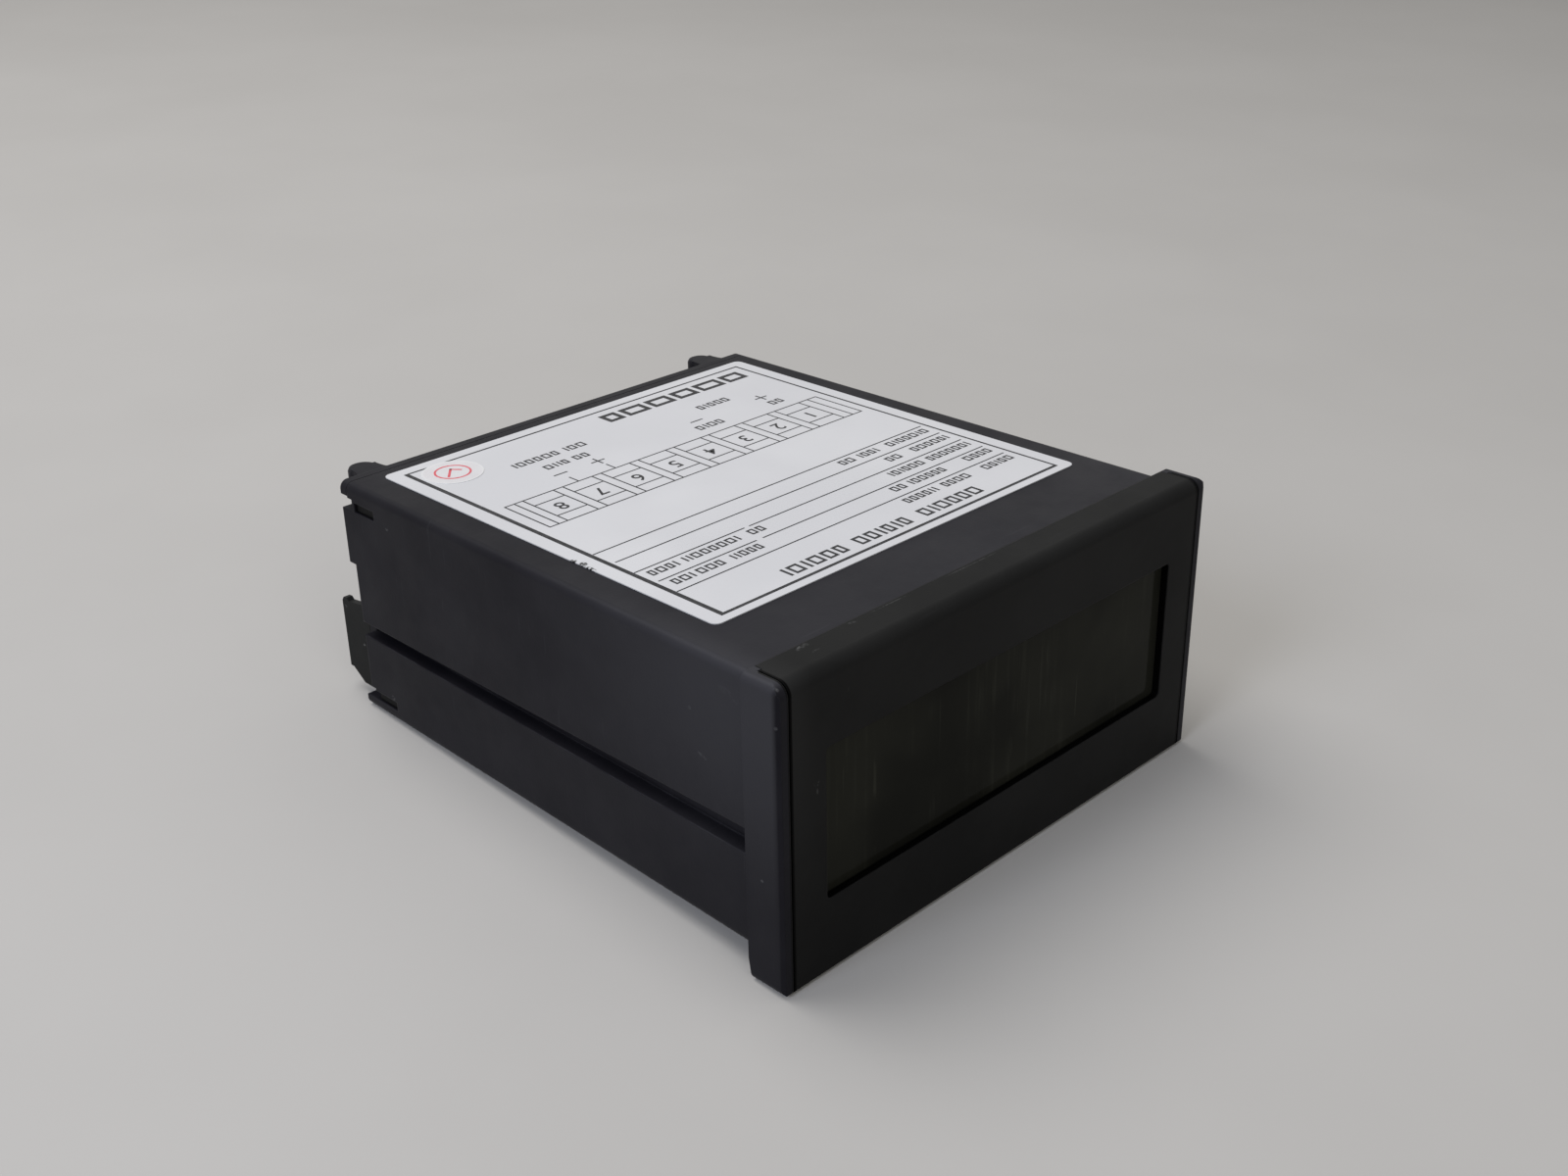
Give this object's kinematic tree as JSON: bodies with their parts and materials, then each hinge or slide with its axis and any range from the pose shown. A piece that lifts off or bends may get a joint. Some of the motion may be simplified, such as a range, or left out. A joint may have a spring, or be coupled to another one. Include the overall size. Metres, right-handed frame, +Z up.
{
  "type": "digital panel meter",
  "caption": "Flush panel meter with a smoked display window, moulded case with side clamp grooves, and a barrier terminal strip at the rear.",
  "frame": {"origin": "centre of the bounding box at the underside of the front flange", "axes": "+X to the right seen from the front, +Y from the display to the terminals, +Z up"},
  "size_m": [0.096, 0.1124, 0.048],
  "materials": {
    "case_plastic": "moulded black, lightly handled, satin to matte",
    "bezel_plastic": "moulded black, finely textured",
    "smoked_window": "smoked acrylic, fine rubbing marks",
    "label_film": "pale grey printed film",
    "sticker_film": "thin clear sticker with a plain red mark",
    "terminal_plastic": "moulded black",
    "brass": "pressed brass, tarnished",
    "zinc_steel": "zinc plated steel",
    "board": "green solder mask on glass board",
    "digit_face": "grey face with pale segments",
    "header_plastic": "black moulded bar",
    "trimmer_body": "blue cermet trimmer",
    "rotor_plastic": "ivory rotor",
    "ferrite": "sintered ferrite",
    "bobbin": "cream moulded bobbin",
    "winding_tape": "yellow insulating tape",
    "capacitor_sleeve": "dark blue sleeve on an aluminium can",
    "chip_epoxy": "black moulded package with tinned legs",
    "varistor_coat": "blue dipped coat",
    "resistor_coat": "beige lacquer with colour bands",
    "diode_epoxy": "black moulded body with a pale band"
  },
  "bodies": {
    "meter": {"housing": "case_plastic", "front_bezel": "bezel_plastic", "display_window": "smoked_window", "nameplate": "label_film", "inspection_sticker": "sticker_film", "rear_cover": "case_plastic", "terminal_block": "terminal_plastic", "terminal_contact_1": "brass", "terminal_contact_2": "brass", "terminal_contact_3": "brass", "terminal_contact_4": "brass", "terminal_contact_5": "brass", "terminal_contact_6": "brass", "terminal_contact_7": "brass", "terminal_contact_8": "brass", "main_board": "board", "display_board": "board", "digit_1": "digit_face", "digit_2": "digit_face", "digit_3": "digit_face", "digit_4": "digit_face", "header_bar": "header_plastic", "header_pins": "brass", "zero_trimmer": "trimmer_body", "span_trimmer": "trimmer_body", "transformer_core": "ferrite", "transformer_bobbin": "bobbin", "transformer_winding": "winding_tape", "supply_capacitor": "capacitor_sleeve", "output_capacitor_1": "capacitor_sleeve", "output_capacitor_2": "capacitor_sleeve", "microcontroller": "chip_epoxy", "converter_chip": "chip_epoxy", "supply_chip": "chip_epoxy", "optocoupler": "chip_epoxy", "fuse": "zinc_steel", "fuse_clips": "brass", "varistor": "varistor_coat", "inductor": "ferrite", "rectifier_diodes": "diode_epoxy", "resistors": "resistor_coat"},
    "clamp_1": {"wire_clamp_1": "zinc_steel"},
    "screw_1": {"terminal_screw_1": "zinc_steel"},
    "clamp_2": {"wire_clamp_2": "zinc_steel"},
    "screw_2": {"terminal_screw_2": "zinc_steel"},
    "clamp_3": {"wire_clamp_3": "zinc_steel"},
    "screw_3": {"terminal_screw_3": "zinc_steel"},
    "clamp_4": {"wire_clamp_4": "zinc_steel"},
    "screw_4": {"terminal_screw_4": "zinc_steel"},
    "clamp_5": {"wire_clamp_5": "zinc_steel"},
    "screw_5": {"terminal_screw_5": "zinc_steel"},
    "clamp_6": {"wire_clamp_6": "zinc_steel"},
    "screw_6": {"terminal_screw_6": "zinc_steel"},
    "clamp_7": {"wire_clamp_7": "zinc_steel"},
    "screw_7": {"terminal_screw_7": "zinc_steel"},
    "clamp_8": {"wire_clamp_8": "zinc_steel"},
    "screw_8": {"terminal_screw_8": "zinc_steel"},
    "zero_rotor": {"zero_rotor": "rotor_plastic"},
    "span_rotor": {"span_rotor": "rotor_plastic"}
  },
  "joints": [
    {"name": "clamp_1_travel", "type": "slide", "parent": "meter", "child": "clamp_1", "axis": [0, 1, 0], "range_m": [0, 0.0025]},
    {"name": "screw_1_turn", "type": "hinge", "parent": "clamp_1", "child": "screw_1", "pos_m": [-0.03325, 0.05185, 0.0152], "axis": [0, 1, 0], "range_deg": [0, 1800]},
    {"name": "clamp_2_travel", "type": "slide", "parent": "meter", "child": "clamp_2", "axis": [0, 1, 0], "range_m": [0, 0.0025]},
    {"name": "screw_2_turn", "type": "hinge", "parent": "clamp_2", "child": "screw_2", "pos_m": [-0.02375, 0.05185, 0.0152], "axis": [0, 1, 0], "range_deg": [0, 1800]},
    {"name": "clamp_3_travel", "type": "slide", "parent": "meter", "child": "clamp_3", "axis": [0, 1, 0], "range_m": [0, 0.0025]},
    {"name": "screw_3_turn", "type": "hinge", "parent": "clamp_3", "child": "screw_3", "pos_m": [-0.01425, 0.05185, 0.0152], "axis": [0, 1, 0], "range_deg": [0, 1800]},
    {"name": "clamp_4_travel", "type": "slide", "parent": "meter", "child": "clamp_4", "axis": [0, 1, 0], "range_m": [0, 0.0025]},
    {"name": "screw_4_turn", "type": "hinge", "parent": "clamp_4", "child": "screw_4", "pos_m": [-0.00475, 0.05185, 0.0152], "axis": [0, 1, 0], "range_deg": [0, 1800]},
    {"name": "clamp_5_travel", "type": "slide", "parent": "meter", "child": "clamp_5", "axis": [0, 1, 0], "range_m": [0, 0.0025]},
    {"name": "screw_5_turn", "type": "hinge", "parent": "clamp_5", "child": "screw_5", "pos_m": [0.00475, 0.05185, 0.0152], "axis": [0, 1, 0], "range_deg": [0, 1800]},
    {"name": "clamp_6_travel", "type": "slide", "parent": "meter", "child": "clamp_6", "axis": [0, 1, 0], "range_m": [0, 0.0025]},
    {"name": "screw_6_turn", "type": "hinge", "parent": "clamp_6", "child": "screw_6", "pos_m": [0.01425, 0.05185, 0.0152], "axis": [0, 1, 0], "range_deg": [0, 1800]},
    {"name": "clamp_7_travel", "type": "slide", "parent": "meter", "child": "clamp_7", "axis": [0, 1, 0], "range_m": [0, 0.0025]},
    {"name": "screw_7_turn", "type": "hinge", "parent": "clamp_7", "child": "screw_7", "pos_m": [0.02375, 0.05185, 0.0152], "axis": [0, 1, 0], "range_deg": [0, 1800]},
    {"name": "clamp_8_travel", "type": "slide", "parent": "meter", "child": "clamp_8", "axis": [0, 1, 0], "range_m": [0, 0.0025]},
    {"name": "screw_8_turn", "type": "hinge", "parent": "clamp_8", "child": "screw_8", "pos_m": [0.03325, 0.05185, 0.0152], "axis": [0, 1, 0], "range_deg": [0, 1800]},
    {"name": "zero_adjust", "type": "hinge", "parent": "meter", "child": "zero_rotor", "pos_m": [0.0315, -0.04775, 0.029], "axis": [0, 1, 0], "range_deg": [-130, 130]},
    {"name": "span_adjust", "type": "hinge", "parent": "meter", "child": "span_rotor", "pos_m": [0.0315, -0.04775, 0.019], "axis": [0, 1, 0], "range_deg": [-130, 130]}
  ],
  "couplings": [
    {"joint": "screw_1_turn", "follows": "clamp_1_travel", "rad_per_m": 12566},
    {"joint": "screw_2_turn", "follows": "clamp_2_travel", "rad_per_m": 12566},
    {"joint": "screw_3_turn", "follows": "clamp_3_travel", "rad_per_m": 12566},
    {"joint": "screw_4_turn", "follows": "clamp_4_travel", "rad_per_m": 12566},
    {"joint": "screw_5_turn", "follows": "clamp_5_travel", "rad_per_m": 12566},
    {"joint": "screw_6_turn", "follows": "clamp_6_travel", "rad_per_m": 12566},
    {"joint": "screw_7_turn", "follows": "clamp_7_travel", "rad_per_m": 12566},
    {"joint": "screw_8_turn", "follows": "clamp_8_travel", "rad_per_m": 12566}
  ]
}
